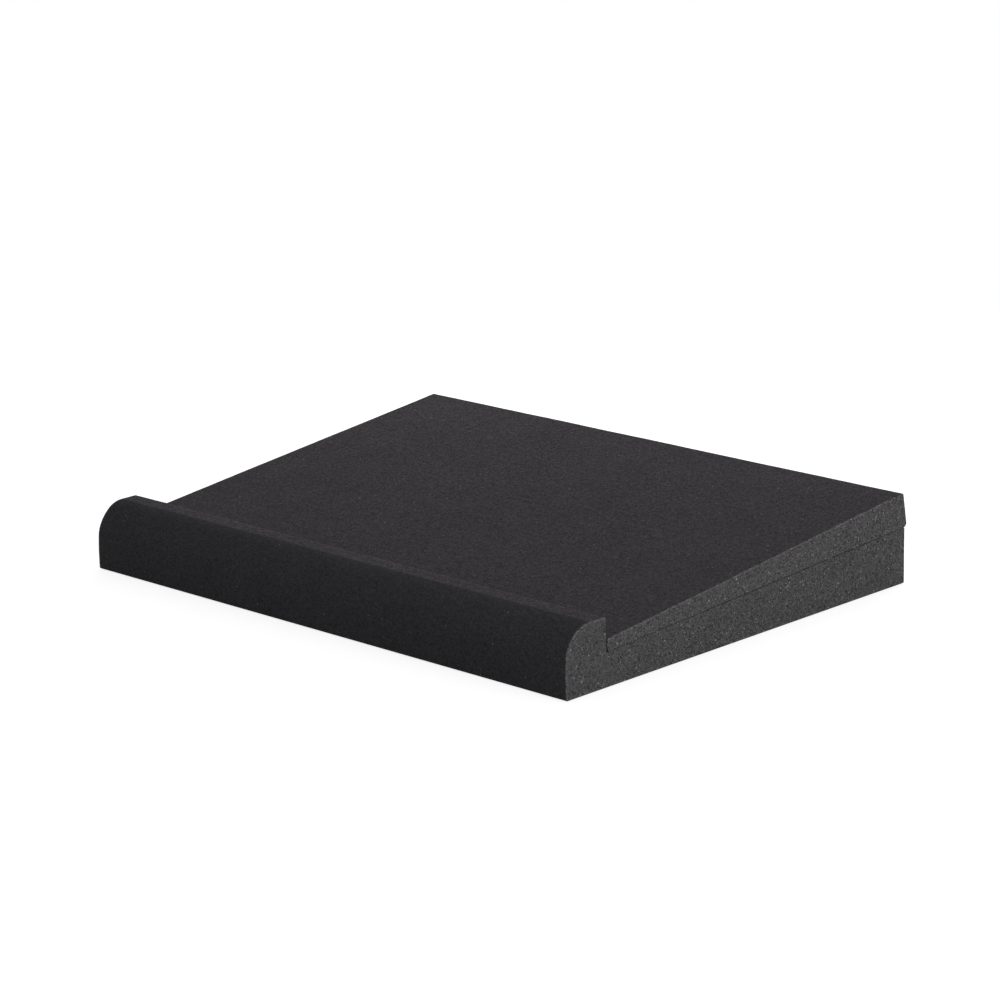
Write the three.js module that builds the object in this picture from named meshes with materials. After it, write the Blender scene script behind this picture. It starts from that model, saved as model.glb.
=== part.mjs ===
// Speaker isolation pad: a sloping block of charcoal acoustic foam with a rounded lip along its front,
// and a loose foam wedge that lies on the slope behind the lip. A loudspeaker stands on the wedge, tilted back,
// with its lower front edge against the lip. Both pieces are cut from open-cell foam, one profile for their
// whole length. Millimetres, +Z up, front facing -Y, origin at the centre of the footprint on the desk.
import * as THREE from "three";

// Base block
const PAD_WIDTH = 330; // along X, the length of every cut face
const PAD_DEPTH = 241; // front face to rear face
const LIP_HEIGHT = 33.5; // desk to the top of the lip
const LIP_THICKNESS = 26.4; // front face to the lip's rear face
const LIP_ROUND_RADIUS = 16.5; // the round that turns the front face into the lip's top
const SEAT_FRONT_HEIGHT = 16.7; // where the sloping seat meets the foot of the lip
const SEAT_REAR_HEIGHT = 28.4; // where the seat meets the rear face

// Wedge
const WEDGE_WIDTH = PAD_WIDTH; // cut to the base's width, so that their end faces are flush
const WEDGE_NOSE_THICKNESS = 5.8; // front end, square to its underside
const WEDGE_TAIL_THICKNESS = 17.2; // rear end, square to its underside
const WEDGE_TAIL_LEAN = THREE.MathUtils.degToRad(9); // the rear end leans forward from upright
const WEDGE_OVERHANG = 2.1; // how far its lower rear edge passes the base's rear face

// Clearances
const SLOT_GAP = 1.1; // between the lip and the wedge's nose
const SEAM_GAP = 0.3; // between the seat and the wedge's underside

// Edge radii
const CUT_EDGE_RADIUS = 0.8; // a corner as the cutter leaves it
const LIP_EDGE_RADIUS = 0.8; // the rear edge of the lip's top
const SLOT_FOOT_RADIUS = 0.3; // inside corner at the foot of the lip
const TAIL_FOOT_RADIUS = 1.8; // the wedge's lower rear edge, pressed round
const CHORD_HEIGHT = 0.02; // the most that a flat facet departs from its arc

const FOAM_COLOUR = 0x3c3a3b;
const WEDGE_COLOUR = 0x3e3c3d;
const FOAM_ROUGHNESS = 0.97;

// A point of a profile, seen from the end of the pad: y runs to the rear, z upwards.
function corner(y, z, radius = 0) {
  return { at: new THREE.Vector2(y, z), radius };
}

// The points of a closed outline whose corners are rounded by tangent arcs.
function roundedOutline(corners) {
  return corners.flatMap(({ at, radius }, i) => {
    if (radius === 0) {
      return [at];
    }
    const before = corners.at(i - 1).at;
    const after = corners[(i + 1) % corners.length].at;
    const towardsBefore = before.clone().sub(at).normalize();
    const towardsAfter = after.clone().sub(at).normalize();
    const half = Math.acos(THREE.MathUtils.clamp(towardsBefore.dot(towardsAfter), -1, 1)) / 2;
    const centre = towardsBefore.clone().add(towardsAfter).setLength(radius / Math.sin(half)).add(at);
    const start = towardsBefore.clone().multiplyScalar(radius / Math.tan(half)).add(at).sub(centre);
    const turn = Math.sign(towardsAfter.cross(towardsBefore)) * (Math.PI - 2 * half);
    const steps = Math.max(2, Math.ceil(Math.abs(turn) / (2 * Math.acos(1 - CHORD_HEIGHT / radius))));
    return Array.from({ length: steps + 1 }, (_, k) =>
      start.clone().rotateAround(new THREE.Vector2(), (turn * k) / steps).add(centre),
    );
  });
}

const seatSlope = Math.atan2(SEAT_REAR_HEIGHT - SEAT_FRONT_HEIGHT, PAD_DEPTH - LIP_THICKNESS);

// Height of the seat's surface, or of a face raised square from it, at a distance y from the front face.
function heightAboveDesk(y, raised = 0) {
  return SEAT_FRONT_HEIGHT + (y - LIP_THICKNESS) * Math.tan(seatSlope) + raised / Math.cos(seatSlope);
}

// Profile of the base: desk face, rear face, sloping seat, upright rear of the lip, round front.
function baseOutline() {
  return roundedOutline([
    corner(0, 0, CUT_EDGE_RADIUS),
    corner(PAD_DEPTH, 0, CUT_EDGE_RADIUS),
    corner(PAD_DEPTH, SEAT_REAR_HEIGHT, CUT_EDGE_RADIUS),
    corner(LIP_THICKNESS, SEAT_FRONT_HEIGHT, SLOT_FOOT_RADIUS),
    corner(LIP_THICKNESS, LIP_HEIGHT, LIP_EDGE_RADIUS),
    corner(0, LIP_HEIGHT, LIP_ROUND_RADIUS),
  ]);
}

// Profile of the wedge: it lies on the seat, thin end against the lip, with its rear end leaning forward.
function wedgeOutline() {
  const noseY = LIP_THICKNESS + SLOT_GAP;
  const tailY = PAD_DEPTH + WEDGE_OVERHANG;
  const noseTop = corner(noseY, heightAboveDesk(noseY, SEAM_GAP + WEDGE_NOSE_THICKNESS), CUT_EDGE_RADIUS);
  const tailFoot = corner(tailY, heightAboveDesk(tailY, SEAM_GAP), TAIL_FOOT_RADIUS);
  const tailRise = WEDGE_TAIL_THICKNESS / Math.cos(seatSlope);
  const tailTop = corner(tailY - tailRise * Math.tan(WEDGE_TAIL_LEAN), tailFoot.at.y + tailRise, CUT_EDGE_RADIUS);
  return roundedOutline([
    corner(noseY, heightAboveDesk(noseY, SEAM_GAP), CUT_EDGE_RADIUS),
    tailFoot,
    tailTop,
    noseTop,
  ]);
}

// Foam cut to one profile along its whole width, centred on X.
function cutFoam(name, outline, width, colour) {
  const geometry = new THREE.ExtrudeGeometry(new THREE.Shape(outline), { depth: width, bevelEnabled: false });
  const profileToPad = new THREE.Matrix4().makeBasis(
    new THREE.Vector3(0, 1, 0),
    new THREE.Vector3(0, 0, 1),
    new THREE.Vector3(1, 0, 0),
  );
  geometry.applyMatrix4(profileToPad);
  const foam = new THREE.MeshStandardMaterial({ color: colour, roughness: FOAM_ROUGHNESS, metalness: 0 });
  const mesh = new THREE.Mesh(geometry, foam);
  mesh.name = name;
  mesh.position.x = -width / 2;
  return mesh;
}

const base = baseOutline();
const wedge = wedgeOutline();
const rearmost = Math.max(...base.map((p) => p.x), ...wedge.map((p) => p.x));

const pad = new THREE.Group();
pad.add(cutFoam("base_block", base, PAD_WIDTH, FOAM_COLOUR));
pad.add(cutFoam("tilt_wedge", wedge, WEDGE_WIDTH, WEDGE_COLOUR));
pad.position.y = -rearmost / 2; // the footprint's centre comes to the origin

export default pad;
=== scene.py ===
import math

import bmesh
import bpy
from mathutils import Matrix, Vector, noise

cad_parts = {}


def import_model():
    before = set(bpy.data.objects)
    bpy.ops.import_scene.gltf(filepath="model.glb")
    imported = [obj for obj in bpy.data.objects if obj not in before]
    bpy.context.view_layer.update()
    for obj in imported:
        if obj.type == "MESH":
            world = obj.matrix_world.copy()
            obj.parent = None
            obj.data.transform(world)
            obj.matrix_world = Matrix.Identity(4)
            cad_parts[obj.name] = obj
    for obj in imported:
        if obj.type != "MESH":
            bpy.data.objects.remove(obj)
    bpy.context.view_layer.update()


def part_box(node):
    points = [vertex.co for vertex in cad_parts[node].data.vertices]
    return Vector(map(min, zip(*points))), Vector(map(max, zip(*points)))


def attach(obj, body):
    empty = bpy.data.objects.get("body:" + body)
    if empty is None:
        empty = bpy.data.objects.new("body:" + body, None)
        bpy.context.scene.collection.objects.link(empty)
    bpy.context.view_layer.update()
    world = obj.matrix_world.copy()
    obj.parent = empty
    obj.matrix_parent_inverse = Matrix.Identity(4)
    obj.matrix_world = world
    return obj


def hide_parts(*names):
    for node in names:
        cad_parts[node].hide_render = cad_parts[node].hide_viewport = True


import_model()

bl_info = {
    "name": "Speaker isolation pad",
    "version": (1, 0, 0),
    "blender": (4, 5, 0),
    "location": "3D View > Sidebar > Foam Pad",
    "description": "Builds a foam base block, its loose tilt wedge and a studio around them",
    "category": "Add Mesh",
}

MM = 0.001
BASE_LOW, BASE_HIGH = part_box("base_block")
WEDGE_LOW, WEDGE_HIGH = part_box("tilt_wedge")
SLAB, CONTOUR, END = range(3)  # the material slots of both pieces

NEAR = 0.1 * MM  # two places this close count as one
SAME_POINT = 1e-6  # metres between points that are joined into one
LONG_EDGE = 100 * MM  # only an edge from end to end is longer than this
LARGE_ROUND = 5 * MM  # a round over this radius is cut into more facets
LARGE_ROUND_FACETS = 18
SMALL_ROUND_FACETS = 3
END_ROUND_FACETS = 2
EASE_POWER = 3  # puts the deepest cut of the lip's round at four fifths of the lip's height

SEAM_BAND = 0.4 * MM  # how far over the seam's gap the wedge still counts as its underside
SEAM_CLOSES_WITHIN = 22 * MM  # how far from its ends the seam starts to close
SEAM_LUMP = 14 * MM  # width of the slow changes of the seam's gap
SEAM_UNEVEN = 0.4  # share of the sag that comes and goes along the seam

LONG_WAVE = 45 * MM  # width of the wide waves in a cut face
LONG_WAVE_HEIGHT = 0.12 * MM
SHORT_WAVE = 9 * MM
SHORT_WAVE_HEIGHT = 0.04 * MM
PIT = 1.1 * MM  # width of the pits in a cut face
WIDE_PIT = 2.7 * MM
WIDE_PIT_SHARE = 0.6
END_PIT_DEPTH = 0.05 * MM  # where the saw opened the cells
LONG_FACE_PIT_DEPTH = 0.03 * MM

# How strongly the lip's rear top edge carries a painted highlight, and the lip's top painted light.
LIP_EDGE_HIGHLIGHT = 0.8
LIP_TOP_PAINTED_LIGHT = 0.35
STRUT_WIDTH = 0.28  # from a cell's edge to where its painted pore shade is darkest, in cells
PORE_WALL = 0.4  # from a cell's edge to its deepest place, in cells
NOISE_LOW = 0.3  # the noise is nearly always between these two
NOISE_HIGH = 0.7
MOTTLE_SWING = 0.04
PALENESS_SWING = 0.6  # how much the painted highlight and paler foam vary from clump to clump
PAINTED_GLINT_SHADE = 3.0  # what a full painted glint adds to the shade, which is about 1 elsewhere

FLOOR_SIZE = 4  # metres
FLOOR_DROP = 0.3 * MM  # how far the floor lies under the pad
REAR_SOFTBOX = {"place": (-0.22, 0.42, 0.30), "size": (0.8, 0.3)}
RIGHT_SOFTBOX = {"place": (1.0, -0.1, 0.36), "size": (0.6, 0.4)}
LAMP_TARGET = Vector((0, 0, 0.02))  # about the middle of the pad


def linear(hex_colour):
    """The linear colour, with alpha, of an sRGB hex value such as #3a3839."""
    channels = [int(hex_colour[i : i + 2], 16) / 255 for i in (1, 3, 5)]
    return [c / 12.92 if c <= 0.04045 else ((c + 0.055) / 1.055) ** 2.4 for c in channels] + [1.0]


def length(name, description, millimetres):
    """A length that the user can change."""
    return bpy.props.FloatProperty(
        name=name,
        description=description,
        default=millimetres * MM,
        precision=5,
        subtype="DISTANCE",
        unit="LENGTH",
    )


def angle(name, description, radians):
    """An angle that the user can change."""
    return bpy.props.FloatProperty(
        name=name, description=description, default=radians, subtype="ANGLE", unit="ROTATION"
    )


def colour(name, description, hex_colour):
    """A colour that the user can change."""
    return bpy.props.FloatVectorProperty(
        name=name,
        description=description,
        default=linear(hex_colour),
        size=4,
        min=0,
        max=1,
        subtype="COLOR",
    )


class PadSizes(bpy.types.PropertyGroup):
    """Sizes of the two foam pieces that their boxes don't give."""

    lip_thickness: length("Lip thickness", "From the front face to the lip's rear face", 26.4)
    lip_round: length("Lip round", "Radius between the front face and the lip's top", 16.5)
    lip_ease: length("Lip ease", "How much deeper the round is cut at the left end", 1.0)
    lip_edge: length("Lip edge", "Radius of the rear edge of the lip's top", 0.8)
    seat_front: length("Seat at the lip", "Height of the sloping seat where it meets the lip", 16.7)
    seat_rear: length("Seat at the rear", "Height of the sloping seat at the rear face", 28.4)
    seat_edge: length("Seat edge", "Radius of the edge between the seat and the rear face", 0.3)
    nose_thickness: length("Wedge nose", "Thickness of the wedge's front end", 5.8)
    tail_thickness: length("Wedge tail", "Thickness of the wedge's rear end", 17.2)
    tail_overhang: length("Tail overhang", "How far the wedge's foot passes the base's rear face", 2.1)
    tail_lean: angle("Tail lean", "How far the wedge's rear end leans forward", math.radians(9))
    tail_foot: length("Tail foot", "Radius of the wedge's lower rear edge", 1.8)
    seam_gap: length("Seam", "Gap between the seat and the wedge's underside", 0.3)
    seam_sag: length("Seam sag", "How far the wedge's own weight closes the seam at its ends", 0.2)
    cut_edge: length("Cut edge", "Radius of a long edge as the cutter leaves it", 0.8)
    end_edge: length("End edge", "Radius of the edges round each end face", 0.5)
    row: length("Row", "Mesh spacing on the long faces that show", 1.5)
    hidden_row: length("Hidden row", "Mesh spacing across the desk face and in the seam", 6)
    end_row: length("End row", "Mesh spacing on the end faces, close to the size of a cell", 0.6)


class PadLook(bpy.types.PropertyGroup):
    """Colours of the foam and the sizes in its surface."""

    slab: colour("Slab cut", "Colour of the flat cut faces", "#363436")
    contour: colour("Contour cut", "Colour of the front face and its round", "#2e2e30")
    end: colour("Sawn end", "Colour of the sawn end faces", "#444344")
    cell: length("Cell", "Mean size of a foam cell", 0.6)
    clump: length("Clump", "Width of a group of lighter or darker cells", 2.2)
    mottle: length("Mottle", "Width of the slow change of shade over a face", 28)


class StudioSettings(bpy.types.PropertyGroup):
    """The camera and the lamps."""

    azimuth: angle("Azimuth", "Turn of the camera round the pad, from straight in front", 0.7874)
    elevation: angle("Elevation", "Height of the camera above the horizon", 0.26805)
    roll: angle("Roll", "Turn of the camera about its line of sight", -0.02686)
    distance: length("Distance", "From the camera to the point that it looks at", 1742.8)
    aim_right: length("Aim right", "The point looked at, right of the front face's foot", 87.192)
    aim_up: length("Aim up", "The point looked at, above the front face's foot", 62.731)
    lens: bpy.props.FloatProperty(
        name="Lens",
        description="Focal length in millimetres",
        default=130.88,
        subtype="DISTANCE_CAMERA",
        unit="CAMERA",
    )
    ambient: bpy.props.FloatProperty(
        name="Ambient", description="Strength of the even light from all sides", default=0.65
    )
    rear_power: bpy.props.FloatProperty(
        name="Rear softbox", description="Power of the lamp behind the pad", default=2.84, unit="POWER"
    )
    right_power: bpy.props.FloatProperty(
        name="Right softbox", description="Power of the lamp beside the right end", default=3.7, unit="POWER"
    )


def add(tree, kind, inputs=None, **settings):
    """Adds a node with its settings, and sets or links its inputs, which are given by name or number."""
    node = tree.nodes.new(kind)
    for name, value in settings.items():
        setattr(node, name, value)
    for name, value in (inputs or {}).items():
        if isinstance(value, bpy.types.NodeSocket):
            tree.links.new(value, node.inputs[name])
        else:
            node.inputs[name].default_value = value
    return node


def foam_material(name, tint, look, pores, clumps, glints, relief, paleness_lift):
    """Open-cell polyurethane foam: pale struts stand round cells painted darker as shade in their hollows,
    and a few cells carry a painted glint.

    pores and clumps are the swing of shade from strut to cell and from clump to clump, glints is the share
    of cells with a painted glint, relief is the depth of a cell, and the last is how much paler the foam is
    where it is marked: a painted highlight on the end edges, partly real torn foam, painted light on the
    lip's top, and paler wedge ends.
    """
    material = bpy.data.materials.new(name)
    material.use_nodes = True
    tree = material.node_tree
    tree.nodes.clear()

    place = add(tree, "ShaderNodeTexCoord").outputs["Object"]
    at_cell = {"Vector": place, "Scale": 1 / look.cell}
    edges = add(tree, "ShaderNodeTexVoronoi", at_cell, feature="DISTANCE_TO_EDGE").outputs["Distance"]
    cells = add(tree, "ShaderNodeTexVoronoi", at_cell)
    each = add(tree, "ShaderNodeSeparateColor", {"Color": cells.outputs["Color"]})
    group = add(tree, "ShaderNodeTexNoise", {"Vector": place, "Scale": 1 / look.clump, "Detail": 2.0})
    cloud = add(tree, "ShaderNodeTexNoise", {"Vector": place, "Scale": 1 / look.mottle, "Detail": 3.0})
    # Raises the shade where marked: a painted highlight on the end edges, partly real torn foam, painted
    # light on the lip's top, and paler wedge ends.
    highlight_and_paleness = add(tree, "ShaderNodeAttribute", attribute_name="highlight_and_paleness").outputs["Fac"]

    def spread(value, low, high, bottom, top, curve="LINEAR"):
        ends = {"Value": value, "From Min": low, "From Max": high, "To Min": bottom, "To Max": top}
        return add(tree, "ShaderNodeMapRange", ends, interpolation_type=curve).outputs["Result"]

    def times(first, second):
        return add(tree, "ShaderNodeMath", {0: first, 1: second}, operation="MULTIPLY").outputs[0]

    def times_plus(first, second, third):
        inputs = {0: first, 1: second, 2: third}
        return add(tree, "ShaderNodeMath", inputs, operation="MULTIPLY_ADD").outputs[0]

    # Pale struts, and painted shade that darkens each cell towards its hollow middle.
    strut_and_pore_shade = spread(edges, 0.0, STRUT_WIDTH, 1 + pores, 1 - pores, "SMOOTHSTEP")
    cell = spread(each.outputs["Red"], 0.0, 1.0, 1 - pores, 1 + pores)
    clump = spread(group.outputs["Fac"], NOISE_LOW, NOISE_HIGH, 1 - clumps, 1 + clumps)
    mottle = spread(cloud.outputs["Fac"], NOISE_LOW, NOISE_HIGH, 1 - MOTTLE_SWING, 1 + MOTTLE_SWING)
    # Painted glints: a few cells are made much brighter.
    painted_glint = spread(each.outputs["Green"], 1 - glints, 1.0, 0.0, 1.0)
    patchy = spread(group.outputs["Fac"], NOISE_LOW, NOISE_HIGH, 1 - PALENESS_SWING, 1 + PALENESS_SWING)
    paler = times_plus(times(highlight_and_paleness, patchy), paleness_lift, 1.0)
    shade = times(times(times(strut_and_pore_shade, cell), times(clump, mottle)), paler)
    shade = times_plus(painted_glint, PAINTED_GLINT_SHADE, shade)
    dyed = add(tree, "ShaderNodeVectorMath", {0: tint[:3], "Scale": shade}, operation="SCALE")
    height = spread(edges, 0.0, PORE_WALL, 1.0, 0.0, "SMOOTHSTEP")
    bump = add(tree, "ShaderNodeBump", {"Height": height, "Distance": relief, "Strength": 1.0})
    foam = add(
        tree,
        "ShaderNodeBsdfPrincipled",
        {
            "Base Color": dyed.outputs["Vector"],
            "Normal": bump.outputs["Normal"],
            "Roughness": 0.95,
            "Specular IOR Level": 0.0,
        },
    )
    add(tree, "ShaderNodeOutputMaterial", {"Surface": foam.outputs["BSDF"]})
    return material


def foam_materials(context):
    """The three finishes of the foam, in the order of the pieces' slots."""
    names = ("polyurethane_foam_slab_cut", "polyurethane_foam_contour_cut", "polyurethane_foam_end_sawn")
    made = [bpy.data.materials.get(name) for name in names]
    if all(made):
        return made
    look = context.scene.pad_look
    slab, contour, end = names
    return [
        # A band knife leaves a close, even, matt face: the cells show only as a faint grain.
        foam_material(
            slab, look.slab, look,
            pores=0.34, clumps=0.12, glints=0.002, relief=0.04 * MM, paleness_lift=0.3,
        ),
        # The contour cutter is slower and presses the cells shut, so this face is darker and smoother.
        foam_material(
            contour, look.contour, look,
            pores=0.26, clumps=0.08, glints=0.0015, relief=0.03 * MM, paleness_lift=0.8,
        ),
        # The saw tears the cells open, so that pale struts stand beside dark pores painted as shade, and a
        # few cells carry a painted glint.
        foam_material(
            end, look.end, look,
            pores=0.46, clumps=0.10, glints=0.024, relief=0.10 * MM, paleness_lift=0.35,
        ),
    ]


def profile_solid(low, high, corners):
    """A bmesh of one profile carried from end to end. A corner is y, z and the radius of its long edge."""
    bm = bmesh.new()
    highlight_and_paleness = bm.verts.layers.float.new("highlight_and_paleness")
    face = bm.faces.new([bm.verts.new((low.x, y, z)) for y, z, _ in corners])
    made = bmesh.ops.extrude_face_region(bm, geom=[face])["geom"]
    far = [g for g in made if isinstance(g, bmesh.types.BMVert)]
    bmesh.ops.translate(bm, vec=(high.x - low.x, 0, 0), verts=far)
    bmesh.ops.recalc_face_normals(bm, faces=bm.faces)
    for y, z, radius in corners:
        if radius:
            round_long_edge(bm, y, z, radius)
    return bm, highlight_and_paleness


def bevel_edges(bm, edges, offset, segments):
    """Bevels edges to an even round, and gives the new faces."""
    made = bmesh.ops.bevel(
        bm,
        geom=edges,
        offset=offset,
        offset_type="OFFSET",
        affect="EDGES",
        segments=segments,
        profile=0.5,
        material=-1,
        clamp_overlap=False,
    )
    return made["faces"]


def round_long_edge(bm, y, z, radius):
    """Rounds the edge that runs the whole length of the piece at a corner of its profile."""

    def miss(edge):
        return sum((v.co - Vector((v.co.x, y, z))).length for v in edge.verts)

    long_edges = [e for e in bm.edges if abs(e.verts[0].co.x - e.verts[1].co.x) > LONG_EDGE]
    edge = min(long_edges, key=miss)
    # This offset reaches the tangent point of the arc, whatever the angle between the two faces.
    offset = radius * math.tan(edge.calc_face_angle() / 2)
    facets = LARGE_ROUND_FACETS if radius > LARGE_ROUND else SMALL_ROUND_FACETS
    bevel_edges(bm, [edge], offset, facets)


def is_end(face):
    return abs(face.normal.x) > 0.99


def is_long(face):
    return abs(face.normal.x) < 0.01


def soften_ends(bm, radius, in_seam):
    """Rounds the edges of both end faces, apart from those in the seam."""
    ends = [f for f in bm.faces if is_end(f)]
    edges = {e for f in ends for e in f.edges if not all(in_seam(v) for v in e.verts)}
    for f in bevel_edges(bm, list(edges), radius, END_ROUND_FACETS):
        f.material_index = END


def mark_highlight_and_paleness(bm, highlight_and_paleness, on_ends):
    """Marks where the foam is painted paler: fully on the end rounds, a painted edge highlight on partly
    real torn foam, and by a given share on the end faces.
    """
    for v in bm.verts:
        v[highlight_and_paleness] = on_ends if abs(v.normal.x) > 0.9 else 0.0
    for f in bm.faces:
        if not is_end(f) and not is_long(f):
            for v in f.verts:
                v[highlight_and_paleness] = 1.0


def ease_round(bm, low, high, sizes):
    """Presses the round towards its centre, more and more towards the left end, where it was cut deeper."""
    radius = sizes.lip_round
    centre_y, centre_z = low.y + radius, high.z - radius
    for v in bm.verts:
        inward = Vector((0, centre_y - v.co.y, min(0, centre_z - v.co.z)))
        if inward.y <= 0:
            continue
        surface_z = min(v.co.z, centre_z) - radius * inward.z / inward.length
        height = (surface_z - low.z) / (high.z - low.z)
        to_left = (high.x - v.co.x) / (high.x - low.x)
        depth = sizes.lip_ease * to_left * math.sin(math.pi * height**EASE_POWER)
        v.co += inward * depth / radius


def cut_rows(bm, axis, spacing, chosen):
    """Divides the chosen faces by planes square to an axis, at an even spacing between the faces' ends."""
    along = [v.co[axis] for f in chosen for v in f.verts]
    low, high = min(along), max(along)
    count = max(1, round((high - low) / spacing))
    normal = Vector((0, 0, 0))
    normal[axis] = 1
    rest = set(chosen)
    for k in range(1, count):
        level = low + (high - low) * k / count
        edges = {e for f in rest for e in f.edges}
        points = {v for f in rest for v in f.verts}
        geom = [*rest, *edges, *points]
        made = bmesh.ops.bisect_plane(bm, geom=geom, plane_co=normal * level, plane_no=normal, dist=1e-7)
        faces = {g for g in made["geom"] if isinstance(g, bmesh.types.BMFace)}
        rest = {f for f in faces if f.calc_center_median()[axis] > level}


def divide_faces(bm, sizes, is_hidden):
    """Divides the end faces into small squares, and the long faces into rows one way and then the other."""
    for axis in (2, 1):
        cut_rows(bm, axis, sizes.end_row, [f for f in bm.faces if not is_long(f)])
    cut_rows(bm, 0, sizes.row, [f for f in bm.faces if is_long(f)])
    bands = {}
    for e in bm.edges:
        span = e.verts[1].co - e.verts[0].co
        across = abs(span.x) < SAME_POINT and span.length > 2 * sizes.row
        if across and all(is_long(f) for f in e.link_faces):
            spacing = sizes.hidden_row if all(is_hidden(f) for f in e.link_faces) else sizes.row
            cuts = round(span.length / spacing) - 1
            bands.setdefault((cuts, round(e.link_faces[0].normal.z, 2)), []).append(e)
    for (cuts, _), edges in bands.items():
        bmesh.ops.subdivide_edges(bm, edges=edges, cuts=cuts, use_grid_fill=True)


def grain(place, width):
    """Smooth noise from about -1 to 1 whose lumps have a width."""
    return noise.noise(place / width)


def roughen(bm, is_held):
    """Moves each point in or out as cut foam is: slow waves over a face, and pits, deeper on the ends."""
    bm.normal_update()
    moves = []
    for v in bm.verts:
        if is_held(v):
            continue
        wave = LONG_WAVE_HEIGHT * grain(v.co, LONG_WAVE) + SHORT_WAVE_HEIGHT * grain(v.co, SHORT_WAVE)
        depth = END_PIT_DEPTH if abs(v.normal.x) > 0.3 else LONG_FACE_PIT_DEPTH
        fine = grain(v.co, PIT) + WIDE_PIT_SHARE * grain(v.co, WIDE_PIT)
        moves.append((v, v.normal * (wave + depth * fine)))
    for v, move in moves:
        v.co += move


def finish_piece(context, bm, name, node):
    """Writes the mesh into a new object that rides on the pad's body and stands for its CAD node."""
    bmesh.ops.remove_doubles(bm, verts=bm.verts, dist=SAME_POINT)
    bmesh.ops.recalc_face_normals(bm, faces=bm.faces)
    for f in bm.faces:
        f.smooth = True
    mesh = bpy.data.meshes.new(name)
    bm.to_mesh(mesh)
    bm.free()
    for material in foam_materials(context):
        mesh.materials.append(material)
    piece = bpy.data.objects.new(name, mesh)
    context.scene.collection.objects.link(piece)
    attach(piece, "root")
    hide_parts(node)


class FOAMPAD_OT_base_block(bpy.types.Operator):
    """Makes the base block: upright front, rounded lip, sloping seat"""

    bl_idname = "foam_pad.base_block"
    bl_label = "Base block"
    bl_options = {"REGISTER", "UNDO"}

    def execute(self, context):
        sizes = context.scene.pad_sizes
        low, high = BASE_LOW, BASE_HIGH
        lip_rear = low.y + sizes.lip_thickness
        bm, highlight_and_paleness = profile_solid(low, high, [
            (low.y, low.z, sizes.cut_edge),
            (high.y, low.z, sizes.cut_edge),
            (high.y, sizes.seat_rear, sizes.seat_edge),
            (lip_rear, sizes.seat_front, 0),
            (lip_rear, high.z, sizes.lip_edge),
            (low.y, high.z, sizes.lip_round),
        ])
        round_end = low.y + sizes.lip_round
        for f in bm.faces:
            centre = f.calc_center_median()
            if is_end(f):
                f.material_index = END
            elif f.normal.y < -0.01 and centre.y < round_end and centre.z > low.z + sizes.cut_edge:
                f.material_index = CONTOUR

        def in_seam(v):
            behind_lip = v.co.y > lip_rear - NEAR
            return behind_lip and sizes.seat_front - NEAR < v.co.z < sizes.seat_rear + MM

        def is_seat(face):
            return face.normal.z > 0.9 and face.calc_center_median().y > lip_rear

        soften_ends(bm, sizes.end_edge, in_seam)
        divide_faces(bm, sizes, lambda f: f.normal.z < -0.5 or is_seat(f))
        mark_highlight_and_paleness(bm, highlight_and_paleness, on_ends=0.0)
        ease_round(bm, low, high, sizes)
        edge_start = lip_rear - sizes.lip_edge - NEAR
        # Painted highlight along the lip's rear top edge, and painted light over the lip's top.
        for v in bm.verts:
            if v.co.z > high.z - sizes.lip_edge and v.co.y > round_end + NEAR:
                v[highlight_and_paleness] = max(v[highlight_and_paleness], LIP_EDGE_HIGHLIGHT if v.co.y > edge_start else LIP_TOP_PAINTED_LIGHT)
        roughen(bm, lambda v: v.normal.z < -0.5 or (v.normal.z > 0.3 and in_seam(v)))
        finish_piece(context, bm, "foam_base_block", "base_block")
        return {"FINISHED"}


class FOAMPAD_OT_tilt_wedge(bpy.types.Operator):
    """Makes the loose wedge that lies on the seat"""

    bl_idname = "foam_pad.tilt_wedge"
    bl_label = "Tilt wedge"
    bl_options = {"REGISTER", "UNDO"}

    def execute(self, context):
        sizes = context.scene.pad_sizes
        low, high = WEDGE_LOW, WEDGE_HIGH
        lip_rear = BASE_LOW.y + sizes.lip_thickness
        slope = (sizes.seat_rear - sizes.seat_front) / (BASE_HIGH.y - lip_rear)
        stretch = math.hypot(1, slope)

        def above_seat(y, raised):
            """Height of a face that is raised square from the seat, at a distance along the pad."""
            return sizes.seat_front + (y - lip_rear) * slope + raised * stretch

        tail_y = BASE_HIGH.y + sizes.tail_overhang
        tail_z = above_seat(tail_y, sizes.seam_gap)
        rise = sizes.tail_thickness * stretch
        nose_top = above_seat(low.y, sizes.seam_gap + sizes.nose_thickness)
        bm, highlight_and_paleness = profile_solid(low, high, [
            (low.y, above_seat(low.y, sizes.seam_gap), sizes.cut_edge),
            (tail_y, tail_z, sizes.tail_foot),
            (tail_y - rise * math.tan(sizes.tail_lean), tail_z + rise, sizes.cut_edge),
            (low.y, nose_top, sizes.cut_edge),
        ])
        for f in bm.faces:
            if is_end(f):
                f.material_index = END

        def in_seam(v):
            return v.co.y < BASE_HIGH.y + MM and v.co.z < above_seat(v.co.y, sizes.seam_gap + SEAM_BAND)

        soften_ends(bm, sizes.end_edge, in_seam)
        divide_faces(bm, sizes, lambda f: f.normal.z < -0.5)
        bm.normal_update()
        # The wedge's end faces are marked a fifth of the way, so they come out paler than the base's.
        mark_highlight_and_paleness(bm, highlight_and_paleness, on_ends=0.2)
        for v in bm.verts:
            if in_seam(v) and v.normal.z < -0.3:
                to_end = min(v.co.y - low.y, BASE_HIGH.y - v.co.y)
                closed = max(0, 1 - to_end / SEAM_CLOSES_WITHIN)
                v.co.z -= sizes.seam_sag * max(closed, SEAM_UNEVEN * grain(v.co, SEAM_LUMP))
        roughen(bm, lambda v: v.normal.z < -0.3 and in_seam(v))
        finish_piece(context, bm, "foam_tilt_wedge", "tilt_wedge")
        return {"FINISHED"}


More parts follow.
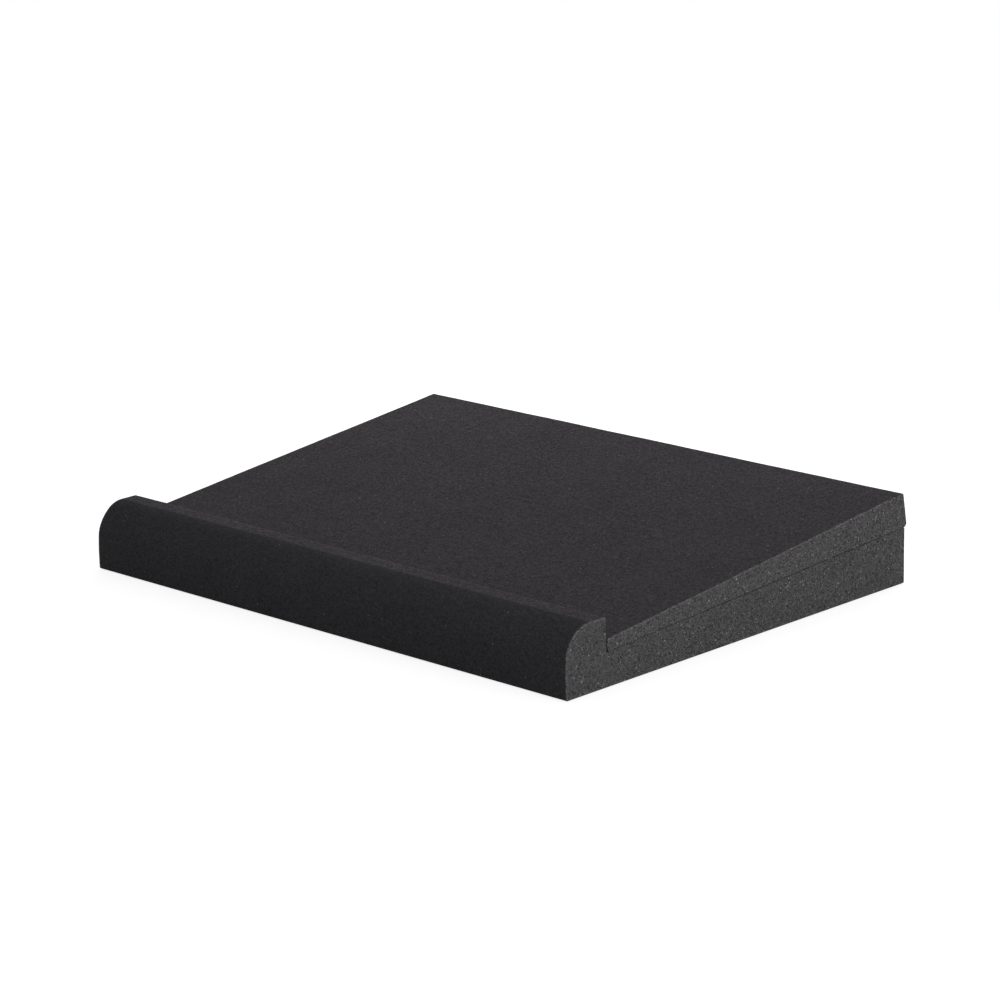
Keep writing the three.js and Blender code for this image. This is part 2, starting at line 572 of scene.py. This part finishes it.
def camera(context):
    """The photograph's view of the pad."""
    studio = context.scene.pad_studio
    az, el, roll = studio.azimuth, studio.elevation, studio.roll
    back = Vector((math.sin(az) * math.cos(el), -math.cos(az) * math.cos(el), math.sin(el)))
    level = Vector((math.cos(az), math.sin(az), 0))
    upright = back.cross(level)
    right = level * math.cos(roll) + upright * math.sin(roll)
    up = upright * math.cos(roll) - level * math.sin(roll)
    data = bpy.data.cameras.new("camera")
    data.lens = studio.lens
    data.sensor_width = 36
    eye = bpy.data.objects.new("camera", data)
    aim = Vector((0, BASE_LOW.y, 0)) + right * studio.aim_right + up * studio.aim_up
    turn = Matrix((right, up, back)).transposed().to_4x4()
    eye.matrix_world = Matrix.Translation(aim + back * studio.distance) @ turn
    context.scene.collection.objects.link(eye)
    context.scene.camera = eye


def softbox(context, name, place, size, power):
    """A rectangular lamp that faces the pad, and isn't in the picture itself."""
    data = bpy.data.lights.new(name, "AREA")
    data.shape = "RECTANGLE"
    data.size, data.size_y = size
    data.energy = power
    lamp = bpy.data.objects.new(name, data)
    lamp.location = place
    lamp.rotation_euler = (Vector(place) - LAMP_TARGET).to_track_quat("Z", "Y").to_euler()
    lamp.visible_camera = False
    context.scene.collection.objects.link(lamp)


def seen_directly(tree):
    """1 for a ray from the camera, a reflection or clear material, and 0 for one that carries light."""
    path = add(tree, "ShaderNodeLightPath").outputs
    both = {0: path["Is Camera Ray"], 1: path["Is Glossy Ray"]}
    either = add(tree, "ShaderNodeMath", both, operation="MAXIMUM").outputs[0]
    every = {0: either, 1: path["Is Transmission Ray"]}
    return add(tree, "ShaderNodeMath", every, operation="MAXIMUM").outputs[0]


def world(context):
    """Even light from all sides, and a white background."""
    made = bpy.data.worlds.new("studio")
    made.use_nodes = True
    tree = made.node_tree
    tree.nodes.clear()
    ends = {"Value": seen_directly(tree), "To Min": context.scene.pad_studio.ambient, "To Max": 1.0}
    strength = add(tree, "ShaderNodeMapRange", ends).outputs["Result"]
    sky = add(tree, "ShaderNodeBackground", {"Color": (1, 1, 1, 1), "Strength": strength})
    add(tree, "ShaderNodeOutputWorld", {"Surface": sky.outputs[0]})
    context.scene.world = made


def floor(context):
    """A pale floor that is white where it is seen, apart from the pad's shadow."""
    bm = bmesh.new()
    bmesh.ops.create_grid(bm, x_segments=1, y_segments=1, size=FLOOR_SIZE)
    bmesh.ops.translate(bm, vec=(0, 0, -FLOOR_DROP), verts=bm.verts)
    mesh = bpy.data.meshes.new("floor")
    bm.to_mesh(mesh)
    bm.free()
    # Matt white paper: it spreads the light evenly and has no gloss.
    material = bpy.data.materials.new("matt_white_paper")
    material.use_nodes = True
    tree = material.node_tree
    tree.nodes.clear()
    bounce = add(tree, "ShaderNodeBsdfDiffuse", {"Color": linear("#dadada")})
    shown = add(tree, "ShaderNodeBsdfDiffuse", {"Color": linear("#969696")})
    glow = add(tree, "ShaderNodeEmission", {"Color": (1, 1, 1, 1), "Strength": 0.8})
    bright = add(tree, "ShaderNodeAddShader", {0: shown.outputs[0], 1: glow.outputs[0]})
    parts = {0: seen_directly(tree), 1: bounce.outputs[0], 2: bright.outputs[0]}
    add(tree, "ShaderNodeOutputMaterial", {"Surface": add(tree, "ShaderNodeMixShader", parts).outputs[0]})
    mesh.materials.append(material)
    made = bpy.data.objects.new("floor", mesh)
    context.scene.collection.objects.link(made)


class FOAMPAD_OT_stage(bpy.types.Operator):
    """Makes the floor, the lamps, the background and the camera"""

    bl_idname = "foam_pad.stage"
    bl_label = "Stage"
    bl_options = {"REGISTER", "UNDO"}

    def execute(self, context):
        studio = context.scene.pad_studio
        camera(context)
        world(context)
        floor(context)
        softbox(context, "softbox_rear", power=studio.rear_power, **REAR_SOFTBOX)
        softbox(context, "softbox_right", power=studio.right_power, **RIGHT_SOFTBOX)
        context.scene.view_settings.view_transform = "Standard"
        return {"FINISHED"}


class FOAMPAD_PT_panel(bpy.types.Panel):
    """Lists the steps that build the pad, and what can be changed."""

    bl_label = "Foam Pad"
    bl_idname = "FOAMPAD_PT_panel"
    bl_space_type = "VIEW_3D"
    bl_region_type = "UI"
    bl_category = "Foam Pad"

    def draw(self, context):
        for operator in OPERATORS:
            self.layout.operator(operator.bl_idname)
        for name, group in GROUPS.items():
            for key in group.__annotations__:
                self.layout.prop(getattr(context.scene, name), key)


OPERATORS = (FOAMPAD_OT_stage, FOAMPAD_OT_base_block, FOAMPAD_OT_tilt_wedge)
GROUPS = {"pad_sizes": PadSizes, "pad_look": PadLook, "pad_studio": StudioSettings}
CLASSES = (*GROUPS.values(), *OPERATORS, FOAMPAD_PT_panel)


def register():
    for made in CLASSES:
        bpy.utils.register_class(made)
    for name, group in GROUPS.items():
        setattr(bpy.types.Scene, name, bpy.props.PointerProperty(type=group))


def unregister():
    for name in GROUPS:
        delattr(bpy.types.Scene, name)
    for made in reversed(CLASSES):
        bpy.utils.unregister_class(made)


def main():
    register()
    bpy.ops.foam_pad.stage()
    bpy.ops.foam_pad.base_block()
    bpy.ops.foam_pad.tilt_wedge()


if __name__ == "__main__":
    main()
